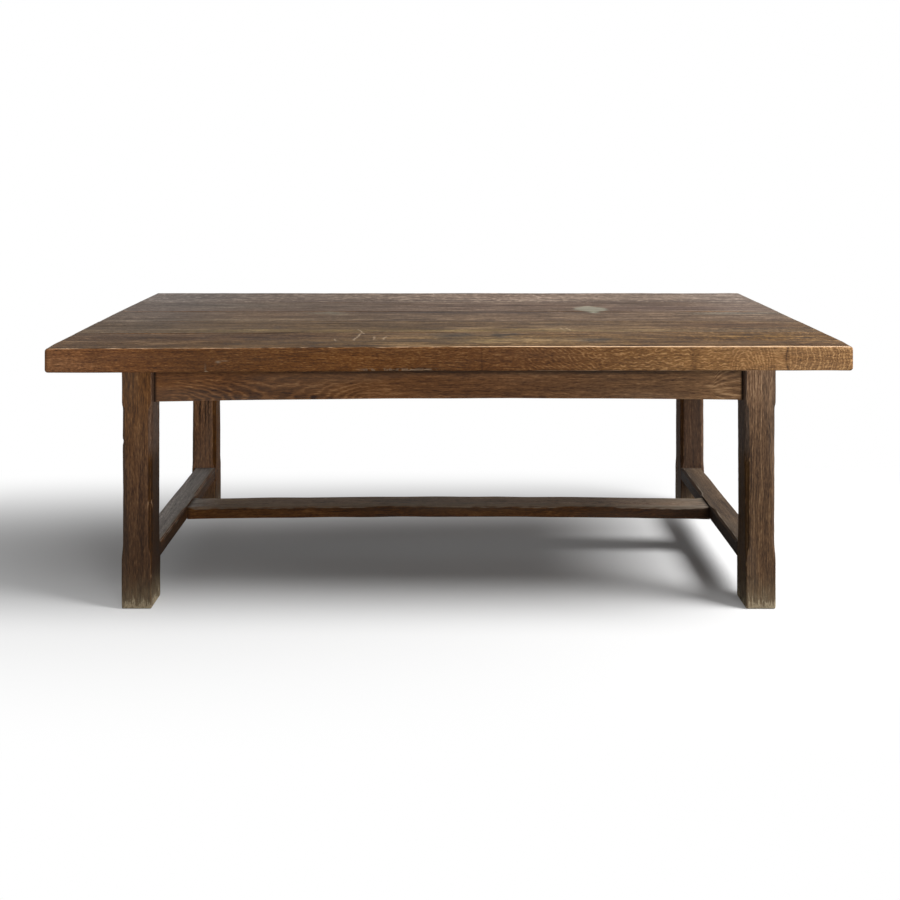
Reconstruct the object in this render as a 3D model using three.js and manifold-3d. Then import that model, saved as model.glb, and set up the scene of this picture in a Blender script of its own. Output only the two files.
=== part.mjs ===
// Farmhouse table in oak: a thick plank top on four chamfered legs, with pegged aprons and an H of stretchers.
// Lengths are millimetres. +X runs along the table, -Y faces the front and +Z is up.
// The origin is on the floor, under the middle of the top.
import * as THREE from "three";
import { mergeVertices } from "three/addons/utils/BufferGeometryUtils.js";
import Module from "manifold-3d";

const wasm = await Module();
wasm.setup();

// Fits and cuts
const fit = 0.3; // gap left round a piece that is let into another
const overrun = 2; // how far a cutter, or the root of a tenon, runs past a face

// Top: boards from the back to the front, edge to edge over loose tongues
const boardWidths = [228, 194, 182, 190, 206];
const topLength = 2200;
const tableHeight = 760;
const topThickness = 68;
const topEdgeRadius = 5;
const tongueThickness = 12;
const tongueWidth = 36;
const tongueEndInset = 90;

// Legs: square, with a stopped chamfer on every upright edge
const legSize = 85;
const legEndInset = 178; // from the end of the top to the leg
const legSideInset = 93; // from the long edge of the top to the leg
const legArris = 1.5;
const legChamfer = 10.5;
const legUpperStop = 24; // from the full chamfer up to the lower edge of the aprons
const legLowerStop = 42;
const legStopLap = 18; // how far the lower stop runs down beside the side stretcher
const footBevel = 3;

// Aprons: set back from the faces of the legs, with a lower edge that rises a little to the middle
const apronHeight = 109;
const apronThickness = 30;
const apronSetback = 23;
const longApronCrown = 5;
const endApronCrown = 2;
const apronArris = 2;
const apronTenonThickness = 12;
const apronTenonFoot = 10; // from the lower edge of the apron to the tenon
const apronHaunch = 24; // from the top of the apron down to the tenon
const mortiseWall = 5; // wood left between the two mortises in the head of a leg

// Side stretchers: leg to leg, flush with the inner faces of the legs
const sideStretcherWidth = 76;
const sideStretcherHeight = 42;
const sideStretcherBottom = 115;
const sideStretcherChamfer = 7.7;
const sideStretcherEndStop = 14; // length over which the chamfer fades at a leg
const sideStretcherJointStop = 34; // and beside the long stretcher
const sideTenonThickness = 24;
const sideTenonHeight = 26;
const sideTenonLength = 50;

// Long stretcher: between the side stretchers, bowed up a little in the middle
const longStretcherWidth = 83;
const longStretcherHeight = 40;
const longStretcherDrop = 6; // from the top of a side stretcher down to the top of its end
const longStretcherCrown = 8;
const longStretcherChamfer = 8;
const longStretcherEndStop = 30;
const longTenonThickness = 18;
const longTenonWidth = 50;
const longTenonLength = 42;
const stretcherArris = 1.5;

// Pegs: riven, eight-sided, driven into round holes
const pegRadius = 4.8;
const pegTipRadius = 3;
const pegTip = 6;
const pegProud = 1;
const pegPast = 8; // how far a peg runs past the far side of a tenon
const pegEdge = 16; // from the edge of an apron's tenon to its peg

// Buttons: wooden catches that hold the top down on the aprons, each with one screw
const buttonWidth = 42;
const buttonBodyLength = 46;
const buttonTongueLength = 10;
const buttonSlotHeight = 12;
const buttonSlotDrop = 12; // from the top of the apron down to the slot
const buttonSlotPlay = 16; // room beside the tongue, so that the top can move
const buttonSpacing = 560;
const screwHeadRadius = 4.6;
const screwHeadHeight = 3.4;
const screwShankRadius = 2.4;
const screwTip = 8;
const screwBite = 32; // how far the screw runs into the top
const screwSlotWidth = 1.2;
const screwSlotDepth = 1.1;

// Facets
const roundSteps = 3;
const crownSteps = 10;
const pegSides = 8;
const boreSides = 16;

// Places worked out from the sizes, given for the right-hand back corner of the table
const topDepth = boardWidths.reduce((sum, width) => sum + width, 0);
const frameTop = tableHeight - topThickness;
const legOuterX = topLength / 2 - legEndInset;
const legOuterY = topDepth / 2 - legSideInset;
const legInnerX = legOuterX - legSize;
const legInnerY = legOuterY - legSize;
const apronBottom = frameTop - apronHeight;
const longApronOuterY = legOuterY - apronSetback;
const longApronInnerY = longApronOuterY - apronThickness;
const endApronOuterX = legOuterX - apronSetback;
const endApronInnerX = endApronOuterX - apronThickness;
const sideStretcherInnerX = legInnerX;
const sideStretcherOuterX = sideStretcherInnerX + sideStretcherWidth;
const sideStretcherTop = sideStretcherBottom + sideStretcherHeight;
const longStretcherTop = sideStretcherTop - longStretcherDrop;
const longStretcherBottom = longStretcherTop - longStretcherHeight;
const legChamferFoot = sideStretcherTop - legStopLap + legLowerStop;
const legChamferHead = apronBottom - legUpperStop;

const beside = (middle, size) => [middle - size / 2, middle + size / 2];

// Tenons as boxes: each starts inside its own rail, so that the two join
const apronTenonMiddle = apronSetback + apronThickness / 2;
const apronTenonLength = legSize - apronTenonMiddle - apronTenonThickness / 2 - mortiseWall;
const apronTenonHeights = [apronBottom + apronTenonFoot, frameTop - apronHaunch];
const longApronTenon = {
  x: [legInnerX - overrun, legInnerX + apronTenonLength],
  y: beside(legOuterY - apronTenonMiddle, apronTenonThickness),
  z: apronTenonHeights,
};
const endApronTenon = {
  x: beside(legOuterX - apronTenonMiddle, apronTenonThickness),
  y: [legInnerY - overrun, legInnerY + apronTenonLength],
  z: apronTenonHeights,
};
const sideStretcherTenon = {
  x: beside((sideStretcherInnerX + sideStretcherOuterX) / 2, sideTenonThickness),
  y: [legInnerY - overrun, legInnerY + sideTenonLength],
  z: beside((sideStretcherBottom + sideStretcherTop) / 2, sideTenonHeight),
};
const sharedHeights = [
  Math.max(sideStretcherBottom, longStretcherBottom),
  Math.min(sideStretcherTop, longStretcherTop),
];
const longStretcherTenon = {
  x: [sideStretcherInnerX - overrun, sideStretcherInnerX + longTenonLength],
  y: beside(0, longTenonWidth),
  z: beside((sharedHeights[0] + sharedHeights[1]) / 2, longTenonThickness),
};

// Pegs of the same corner: where the head of each is, which way it points and how long it is
const alongX = new THREE.Vector3(1, 0, 0);
const alongY = new THREE.Vector3(0, 1, 0);
const alongZ = new THREE.Vector3(0, 0, 1);
const apronPegHeights = {
  lower: apronTenonHeights[0] + pegEdge,
  upper: apronTenonHeights[1] - pegEdge,
};

function longApronPeg(height) {
  const head = legInnerY - pegProud;
  return {
    at: new THREE.Vector3(legInnerX + apronTenonLength / 2, head, height),
    way: alongY,
    length: longApronTenon.y[1] + pegPast - head,
  };
}

function endApronPeg(height) {
  const head = legOuterX + pegProud;
  return {
    at: new THREE.Vector3(head, legInnerY + apronTenonLength / 2, height),
    way: alongX.clone().negate(),
    length: head - endApronTenon.x[0] + pegPast,
  };
}

function sideStretcherPeg() {
  const head = legOuterX + pegProud;
  const height = (sideStretcherTenon.z[0] + sideStretcherTenon.z[1]) / 2;
  return {
    at: new THREE.Vector3(head, legInnerY + sideTenonLength / 2, height),
    way: alongX.clone().negate(),
    length: head - sideStretcherTenon.x[0] + pegPast,
  };
}

function longStretcherPeg() {
  return {
    at: new THREE.Vector3(sideStretcherInnerX + longTenonLength / 2, 0, sideStretcherBottom),
    way: alongZ,
    length: longStretcherTenon.z[1] + pegPast - sideStretcherBottom,
  };
}

// A closed three.js geometry as a solid that can be joined and cut
function solidOf(geometry) {
  const source = geometry.index ? geometry.toNonIndexed() : geometry;
  const bare = new THREE.BufferGeometry();
  bare.setAttribute("position", source.getAttribute("position"));
  const merged = mergeVertices(bare);
  return new wasm.Manifold(
    new wasm.Mesh({
      numProp: 3,
      vertProperties: merged.getAttribute("position").array,
      triVerts: new Uint32Array(merged.index.array),
    }),
  );
}

function geometryOf(solid) {
  const mesh = solid.getMesh();
  const geometry = new THREE.BufferGeometry();
  geometry.setAttribute("position", new THREE.BufferAttribute(mesh.vertProperties, mesh.numProp));
  geometry.setIndex(new THREE.BufferAttribute(mesh.triVerts, 1));
  geometry.computeVertexNormals();
  return geometry;
}

// Turns the plane of an outline and its direction of travel to the table's axes: (y, z) along x, and so on round
const turns = {
  x: new THREE.Matrix4().makeBasis(alongY, alongZ, alongX),
  y: new THREE.Matrix4().makeBasis(alongZ, alongX, alongY),
  z: new THREE.Matrix4().makeBasis(alongX, alongY, alongZ),
};

// A rectangle whose corners, counter-clockwise from the lowest, are cut by the sizes given.
// One step makes a chamfer and more steps make a round.
function outline([u0, u1], [v0, v1], cuts, steps = 1) {
  const corners = [
    [u0, v0, 1, 1],
    [u1, v0, -1, 1],
    [u1, v1, -1, -1],
    [u0, v1, 1, -1],
  ];
  return corners.flatMap(([u, v, inU, inV], corner) => {
    const cut = cuts[corner];
    if (!cut) return [[u, v]];
    return Array.from({ length: steps + 1 }, (_, step) => {
      const angle = Math.PI + ((corner + step / steps) * Math.PI) / 2;
      return [u + cut * (inU + Math.cos(angle)), v + cut * (inV + Math.sin(angle))];
    });
  });
}

// A solid through outlines of equal length, one at each station along an axis
function loft(axis, stations) {
  const positions = [];
  const face = (...corners) => positions.push(...corners.flat());
  const rings = stations.map(({ at, points }) => points.map(([u, v]) => [u, v, at]));
  for (let ring = 1; ring < rings.length; ring += 1) {
    const [lower, upper] = [rings[ring - 1], rings[ring]];
    lower.forEach((corner, k) => {
      const next = (k + 1) % lower.length;
      face(corner, lower[next], upper[next]);
      face(corner, upper[next], upper[k]);
    });
  }
  const [first, last] = [rings[0], rings[rings.length - 1]];
  for (let k = 2; k < first.length; k += 1) {
    face(first[0], first[k], first[k - 1]);
    face(last[0], last[k - 1], last[k]);
  }
  const geometry = new THREE.BufferGeometry();
  geometry.setAttribute("position", new THREE.Float32BufferAttribute(positions, 3));
  return solidOf(geometry.applyMatrix4(turns[axis]));
}

const uncut = [0, 0, 0, 0];

function block({ x, y, z }) {
  const points = outline(x, y, uncut);
  return loft("z", z.map((at) => ({ at, points })));
}

// The same box with a fit round it, which cuts the seat of what the box describes
function seat(box) {
  const grown = Object.entries(box).map(([axis, [low, high]]) => [axis, [low - fit, high + fit]]);
  return block(Object.fromEntries(grown));
}

// A profile turned about the way that a pin points, from its head to its tip
function turned(profile, sides) {
  const points = profile.map(([radius, along]) => new THREE.Vector2(radius, along));
  return new THREE.LatheGeometry(points, sides);
}

function placeOf({ at, way }) {
  const turn = new THREE.Quaternion().setFromUnitVectors(alongY, way);
  return new THREE.Matrix4().compose(at, turn, new THREE.Vector3(1, 1, 1));
}

function pegGeometry({ length }) {
  const profile = [
    [0, 0],
    [pegRadius, 0],
    [pegRadius, length - pegTip],
    [pegTipRadius, length],
    [0, length],
  ];
  return turned(profile, pegSides);
}

function pegBore(peg) {
  const radius = (pegRadius + fit) / Math.cos(Math.PI / boreSides);
  const profile = [
    [0, -overrun],
    [radius, -overrun],
    [radius, peg.length + fit],
    [0, peg.length + fit],
  ];
  return solidOf(turned(profile, boreSides).applyMatrix4(placeOf(peg)));
}

const cut = (solid, cutters) => cutters.reduce((left, cutter) => left.subtract(cutter), solid);
const apronPegs = (peg) => Object.values(apronPegHeights).map(peg);

// Screws and buttons, in a frame whose origin is on the inner face of an apron, with +Y into the apron
const buttonBottom = frameTop - buttonSlotDrop - buttonSlotHeight + fit;
const buttonSlotTop = frameTop - buttonSlotDrop;
const screwBack = fit + buttonBodyLength / 2; // from the apron to the screw

function screwSolid(extra = 0) {
  const tipEnd = frameTop + screwBite + extra;
  const profile = [
    [0, buttonBottom - extra],
    [screwHeadRadius + extra, buttonBottom - extra],
    [screwShankRadius + extra, buttonBottom + screwHeadHeight],
    [screwShankRadius + extra, tipEnd - screwTip],
    [0, tipEnd],
  ];
  const upright = turned(profile, boreSides).rotateX(Math.PI / 2);
  return solidOf(upright.translate(0, -screwBack, 0));
}

function slottedScrew() {
  const slot = {
    x: beside(0, screwSlotWidth),
    y: beside(-screwBack, 2 * (screwHeadRadius + overrun)),
    z: [buttonBottom - overrun, buttonBottom + screwSlotDepth],
  };
  return screwSolid().subtract(block(slot));
}

function buttonSolid() {
  const body = block({
    x: beside(0, buttonWidth),
    y: [-fit - buttonBodyLength, -fit],
    z: [buttonBottom, frameTop - fit],
  });
  const tongue = block({
    x: beside(0, buttonWidth),
    y: [-fit - overrun, buttonTongueLength],
    z: [buttonBottom, buttonSlotTop - fit],
  });
  return body.add(tongue).subtract(screwSolid(fit));
}

function buttonSlot() {
  return block({
    x: beside(0, buttonWidth + 2 * buttonSlotPlay),
    y: [-overrun, buttonTongueLength + fit],
    z: [buttonSlotTop - buttonSlotHeight, buttonSlotTop],
  });
}

const longButtonPlaces = [-1, 0, 1].map((step) =>
  new THREE.Matrix4().makeTranslation(step * buttonSpacing, longApronInnerY, 0),
);
const endButtonPlace = new THREE.Matrix4()
  .makeRotationZ(-Math.PI / 2)
  .setPosition(endApronInnerX, 0, 0);

const placed = (solid, place) => solidOf(geometryOf(solid).applyMatrix4(place));

// Board of the top, with a groove for the tongue on each jointed edge and a hole for each screw
function boardSolid([back, front], isBack, isFront, cutters) {
  const radius = topEdgeRadius;
  const cuts = [isFront, isBack, isBack, isFront].map((outer) => (outer ? radius : 0));
  const low = front + (isFront ? 0 : fit / 2);
  const high = back - (isBack ? 0 : fit / 2);
  const station = (end, angle) => {
    const inset = radius * (1 - Math.cos(angle));
    const y = [low + (isFront ? inset : 0), high - (isBack ? inset : 0)];
    const z = [frameTop + inset, tableHeight - inset];
    const at = end * (topLength / 2 - radius * (1 - Math.sin(angle)));
    return { at, points: outline(y, z, cuts, roundSteps) };
  };
  const angles = Array.from({ length: roundSteps + 1 }, (_, k) => (k / roundSteps) * (Math.PI / 2));
  const left = angles.map((angle) => station(-1, angle)).reverse();
  const right = angles.map((angle) => station(1, angle));
  return cut(loft("x", [...left, ...right]), cutters);
}

const tongueBox = (seam) => ({
  x: beside(0, topLength - 2 * tongueEndInset),
  y: beside(seam, tongueWidth),
  z: beside(frameTop + topThickness / 2, tongueThickness),
});

// Leg: mortises for both aprons and for the side stretcher, and a bore for each peg
function legSolid() {
  const station = (at, chamfer, inset = 0) => {
    const x = [legInnerX + inset, legOuterX - inset];
    const y = [legInnerY + inset, legOuterY - inset];
    return { at, points: outline(x, y, uncut.map(() => chamfer)) };
  };
  const body = loft("z", [
    station(0, legArris, footBevel),
    station(footBevel, legArris),
    station(legChamferFoot - legLowerStop, legArris),
    station(legChamferFoot, legChamfer),
    station(legChamferHead, legChamfer),
    station(legChamferHead + legUpperStop, legArris),
    station(frameTop, legArris),
  ]);
  const seats = [longApronTenon, endApronTenon, sideStretcherTenon].map(seat);
  const pegs = [...apronPegs(longApronPeg), ...apronPegs(endApronPeg), sideStretcherPeg()];
  return cut(body, [...seats, ...pegs.map(pegBore)]);
}

// Apron along either axis: a lower edge that follows a shallow curve, tenons, peg bores and button slots
function apronSolid(axis, reach, faces, crown, tenon, pegs, slots) {
  const cuts = axis === "x" ? [apronArris, apronArris, 0, 0] : [apronArris, 0, 0, apronArris];
  const half = reach - fit;
  const stations = Array.from({ length: crownSteps + 1 }, (_, step) => {
    const share = (2 * step) / crownSteps - 1;
    const heights = [apronBottom + crown * (1 - share * share), frameTop];
    const [u, v] = axis === "x" ? [faces, heights] : [heights, faces];
    return { at: share * half, points: outline(u, v, cuts) };
  });
  const mirror = axis === "x" ? [-1, 1, 1] : [1, -1, 1];
  const bores = pegs.map(pegBore);
  const body = loft(axis, stations).add(block(tenon)).add(block(tenon).mirror(axisVector(axis)));
  const farBores = bores.map((bore) => bore.scale(mirror));
  return cut(body, [...bores, ...farBores, ...slots]);
}

const axisVector = (axis) => (axis === "x" ? alongX : alongY).toArray();

// Side stretcher: chamfers on both upper edges, the inner one stopped on either side of the long stretcher
function sideStretcherSolid() {
  const end = legInnerY - fit;
  const full = sideStretcherChamfer;
  const jointEdge = longStretcherWidth / 2;
  const half = [
    { at: jointEdge, inner: stretcherArris, outer: full },
    { at: jointEdge + sideStretcherJointStop, inner: full, outer: full },
    { at: end - sideStretcherEndStop, inner: full, outer: full },
    { at: end, inner: stretcherArris, outer: stretcherArris },
  ];
  const mirrored = half.map((station) => ({ ...station, at: -station.at })).reverse();
  const stations = [...mirrored, ...half].map(({ at, inner, outer }) => ({
    at,
    points: outline(
      [sideStretcherBottom, sideStretcherTop],
      [sideStretcherInnerX, sideStretcherOuterX],
      [stretcherArris, inner, outer, stretcherArris],
    ),
  }));
  const tenon = block(sideStretcherTenon);
  const body = loft("y", stations).add(tenon).add(tenon.mirror(alongY.toArray()));
  const bore = pegBore(sideStretcherPeg());
  const bores = [bore, bore.scale([1, -1, 1]), pegBore(longStretcherPeg())];
  return cut(body, [seat(longStretcherTenon), ...bores]);
}

// Long stretcher: bowed up in the middle, with chamfers on both upper edges that stop at its ends
function longStretcherSolid() {
  const end = sideStretcherInnerX - fit;
  const stopped = end - longStretcherEndStop;
  const middle = Array.from({ length: crownSteps + 1 }, (_, step) => stopped * ((2 * step) / crownSteps - 1));
  const station = (at, chamfer) => {
    const bottom = longStretcherBottom + longStretcherCrown * (1 - (at / end) ** 2);
    const cuts = [stretcherArris, stretcherArris, chamfer, chamfer];
    const heights = [bottom, bottom + longStretcherHeight];
    return { at, points: outline(beside(0, longStretcherWidth), heights, cuts) };
  };
  const tenon = block(longStretcherTenon);
  const body = loft("x", [
    station(-end, stretcherArris),
    ...middle.map((at) => station(at, longStretcherChamfer)),
    station(end, stretcherArris),
  ]);
  const bore = pegBore(longStretcherPeg());
  return cut(body.add(tenon).add(tenon.mirror(alongX.toArray())), [bore, bore.scale([-1, 1, 1])]);
}

// Finishes
const finishes = {
  top: { color: 0x76624c, roughness: 0.55, metalness: 0 },
  frame: { color: 0x5c4431, roughness: 0.62, metalness: 0 },
  stretcher: { color: 0x4d3b2d, roughness: 0.6, metalness: 0 },
  peg: { color: 0x4a3726, roughness: 0.7, metalness: 0 },
  bare: { color: 0x9b7b54, roughness: 0.75, metalness: 0 },
  screw: { color: 0x6f6a62, roughness: 0.45, metalness: 0.85 },
};

function piece(name, geometry, finish) {
  const material = new THREE.MeshStandardMaterial({ ...finishes[finish], flatShading: true });
  const mesh = new THREE.Mesh(geometry, material);
  mesh.name = name;
  return mesh;
}

function pegPiece(name, peg) {
  const mesh = piece(name, pegGeometry(peg), "peg");
  mesh.applyMatrix4(placeOf(peg));
  return mesh;
}

function buttonPieces(name, place) {
  const button = piece(`button_${name}`, geometryOf(buttonSolid()), "bare");
  const screw = piece(`screw_${name}`, geometryOf(slottedScrew()), "screw");
  button.applyMatrix4(place);
  screw.applyMatrix4(place);
  return [button, screw];
}

// Top: boards numbered from the back, and the tongues between them
function topGroup() {
  const group = new THREE.Group();
  const seams = boardWidths.reduce((edges, width) => [...edges, edges.at(-1) - width], [topDepth / 2]);
  const tongues = seams.slice(1, -1).map(tongueBox);
  const hole = screwSolid(fit);
  const near = [...longButtonPlaces, endButtonPlace].map((place) => placed(hole, place));
  const far = near.map((solid) => solid.scale([-1, -1, 1]));
  const cutters = [...near, ...far, ...tongues.map(seat)];
  boardWidths.forEach((_, index) => {
    const isFront = index === boardWidths.length - 1;
    const edges = [seams[index], seams[index + 1]];
    const board = boardSolid(edges, index === 0, isFront, cutters);
    group.add(piece(`top_board_${index + 1}`, geometryOf(board), "top"));
  });
  tongues.forEach((tongue, index) => {
    group.add(piece(`loose_tongue_${index + 1}`, geometryOf(block(tongue)), "bare"));
  });
  return group;
}

// One corner: the leg and the pegs driven into it. The others are its mirror images.
function cornerGroup(sideX, sideY) {
  const group = new THREE.Group();
  const name = `${sideY > 0 ? "back" : "front"}_${sideX > 0 ? "right" : "left"}`;
  group.add(piece(`leg_${name}`, geometryOf(legSolid()), "frame"));
  Object.entries(apronPegHeights).forEach(([level, height]) => {
    group.add(pegPiece(`peg_long_apron_${name}_${level}`, longApronPeg(height)));
    group.add(pegPiece(`peg_end_apron_${name}_${level}`, endApronPeg(height)));
  });
  group.add(pegPiece(`peg_side_stretcher_${name}`, sideStretcherPeg()));
  group.scale.set(sideX, sideY, 1);
  return group;
}

// One long side: its apron, and the buttons that hold the top to it
function longSideGroup(sideY) {
  const group = new THREE.Group();
  const name = sideY > 0 ? "back" : "front";
  const slots = longButtonPlaces.map((place) => placed(buttonSlot(), place));
  const faces = [longApronInnerY, longApronOuterY];
  const pegs = apronPegs(longApronPeg);
  const apron = apronSolid("x", legInnerX, faces, longApronCrown, longApronTenon, pegs, slots);
  group.add(piece(`long_apron_${name}`, geometryOf(apron), "frame"));
  longButtonPlaces.forEach((place, index) => group.add(...buttonPieces(`${name}_${index + 1}`, place)));
  group.scale.set(1, sideY, 1);
  return group;
}

// One end: its apron with a button, its side stretcher, and the peg that holds the long stretcher
function endGroup(sideX) {
  const group = new THREE.Group();
  const name = sideX > 0 ? "right" : "left";
  const slots = [placed(buttonSlot(), endButtonPlace)];
  const faces = [endApronInnerX, endApronOuterX];
  const pegs = apronPegs(endApronPeg);
  const apron = apronSolid("y", legInnerY, faces, endApronCrown, endApronTenon, pegs, slots);
  group.add(piece(`end_apron_${name}`, geometryOf(apron), "frame"));
  group.add(...buttonPieces(name, endButtonPlace));
  group.add(piece(`side_stretcher_${name}`, geometryOf(sideStretcherSolid()), "stretcher"));
  group.add(pegPiece(`peg_long_stretcher_${name}`, longStretcherPeg()));
  group.scale.set(sideX, 1, 1);
  return group;
}

const table = new THREE.Group();
table.name = "farmhouse_table";
table.add(topGroup());
for (const side of [-1, 1]) {
  table.add(longSideGroup(side), endGroup(side), cornerGroup(side, -1), cornerGroup(side, 1));
}
table.add(piece("long_stretcher", geometryOf(longStretcherSolid()), "stretcher"));

export default table;
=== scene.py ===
# Farmhouse table in aged oak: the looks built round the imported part.
# Lengths are metres in the part's own frame: +X along the table, -Y to the front, +Z up.
import math
from functools import partial, partialmethod

import bpy
import numpy as np
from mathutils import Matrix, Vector


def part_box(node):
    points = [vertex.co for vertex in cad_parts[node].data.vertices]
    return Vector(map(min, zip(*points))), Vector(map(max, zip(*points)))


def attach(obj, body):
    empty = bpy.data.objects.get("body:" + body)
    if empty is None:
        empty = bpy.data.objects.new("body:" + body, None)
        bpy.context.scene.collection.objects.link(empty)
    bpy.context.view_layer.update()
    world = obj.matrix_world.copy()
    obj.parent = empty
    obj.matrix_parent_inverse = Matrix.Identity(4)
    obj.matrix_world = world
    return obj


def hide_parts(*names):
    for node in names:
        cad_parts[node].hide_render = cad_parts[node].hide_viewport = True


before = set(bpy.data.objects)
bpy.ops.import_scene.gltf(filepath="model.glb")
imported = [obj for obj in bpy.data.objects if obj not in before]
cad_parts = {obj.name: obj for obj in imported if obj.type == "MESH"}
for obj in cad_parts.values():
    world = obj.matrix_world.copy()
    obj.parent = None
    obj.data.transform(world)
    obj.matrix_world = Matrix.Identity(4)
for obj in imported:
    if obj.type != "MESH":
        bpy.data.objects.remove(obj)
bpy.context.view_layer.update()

# Camera: level, in front of the table, a little left of its middle, with the picture shifted down
FOCAL_LENGTH = 37.36  # millimetres, as is the width of the sensor
SENSOR_WIDTH = 36
CAMERA_PLACE = (-0.007, -3.037, 1.2706)
CAMERA_SHIFT = (0.0042, -0.3244)

# Light
WORLD_LEVEL = 0.3
WORLD_LEAN = (0.5, 0.35, 0.2)  # how much brighter the world is towards +X, +Y and +Z
LAMPS = {  # place, width and height of the lamp, and power in watts
    "key": ((4.6, -1.35, 5.9), (2.6, 3.6), 1000),
    "fill": ((2.6, -6.0, 1.2), (2.0, 2.0), 124),
}
LAMP_TARGET = (0, 0, 0.4)
FLOOR_SIZE = 60
FLOOR_TONE = 0.22
FLOOR_SHOWN_TONE = 0.56
FLOOR_MIDDLE = (0.42, 0.0)  # from here the floor turns white, between the two distances below
FLOOR_CLEAR_FROM = 0.2
FLOOR_CLEAR_AT = 1.2
FLOOR_SHARES = (0.23, 1.1, 1.5)  # how much steps sideways, to the front and to the back count

BACK_BOARD, FRONT_BOARD = 1, 5  # the outermost boards of the top

# Sizes that the frame's boxes don't give
TOP_RADIUS = 0.0042
SEAM_RADIUS = 0.0007
CORNER_RADIUS = 0.0105  # at the two upper front corners, seen from the front
LOWER_CORNER_RADIUS = 0.009
LEG_ARRIS = 0.0015
LEG_CHAMFER = 0.0105
LEG_CHAMFER_HEIGHTS = (0.181, 0.559)
LEG_LOWER_STOP = 0.042
LEG_UPPER_STOP = 0.024
LEG_NICKS = {  # side and height
    "front_left": ((1, 0.3), (-1, 0.47)),
    "front_right": ((-1, 0.42), (-1, 0.085)),
}
FOOT_RADIUS = 0.0039
APRON_ARRIS = 0.002
LONG_APRON_CROWN = 0.005
END_APRON_CROWN = 0.002
SIDE_CHAMFER = 0.0077
SIDE_END_STOP = 0.014
SIDE_JOINT_STOP = 0.034
LONG_CHAMFER = 0.008
LONG_CROWN = 0.008
LONG_END_STOP = 0.03
STRETCHER_ARRIS = 0.0015
SETTLED = 0.006  # how far the top has sunk at its front left corner
SETTLED_FROM = (0.3, 0.2)  # the X and Y where this begins
CHIPS = (  # of the lower front edge: X, half length and depth
    (-0.66, 0.006, 0.002),
    (-0.15, 0.008, 0.004),
    (-0.1, 0.012, 0.0025),
    (-0.062, 0.015, 0.003),
)
TIGHT_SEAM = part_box("top_board_3")[1].y  # the seam that is hard to see at its left end
TOP_MIDDLE = sum(corner.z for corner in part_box("top_board_5")) / 2  # half way up the top's edge
JOINT_LAP = 0.002  # how far a rail runs into the piece that holds it

X, Y, Z = 0, 1, 2

# Box surfaces, ruled more closely near their edges
EDGE_SHARES = (0, 0.14, 0.3, 0.5, 0.75, 1.05, 1.5)


def rulings(low, high, step, edge):
    """Positions from low to high, a step apart, and closer together near both ends."""
    close = np.array(EDGE_SHARES) * edge
    count = max(2, round((high - low - 2 * close[-1]) / step))
    middle = np.linspace(low + close[-1], high - close[-1], count + 1)
    return np.concatenate([low + close[:-1], middle, (high - close[:-1])[::-1]])


def box_shell(rules):
    """The points and faces of a box's surface, ruled at the places given along each axis."""
    shape = np.array([len(rule) for rule in rules])
    index = np.indices(shape).reshape(3, -1)
    on_surface = np.any((index == 0) | (index == shape[:, None] - 1), axis=0)
    number = np.full(on_surface.size, -1)
    number[on_surface] = np.arange(on_surface.sum())
    number = number.reshape(shape)
    points = np.stack([rule[i] for rule, i in zip(rules, index)], axis=1)[on_surface]
    faces = []
    for axis in (X, Y, Z):
        for end in (0, -1):
            sheet = np.take(number, end, axis=axis)
            corners = sheet[:-1, :-1], sheet[1:, :-1], sheet[1:, 1:], sheet[:-1, 1:]
            quads = np.stack(corners, axis=-1)
            outward = (end == -1) != (axis == Y)
            faces.append(quads.reshape(-1, 4)[:, :: 1 if outward else -1])
    return points, np.concatenate(faces)


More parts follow.
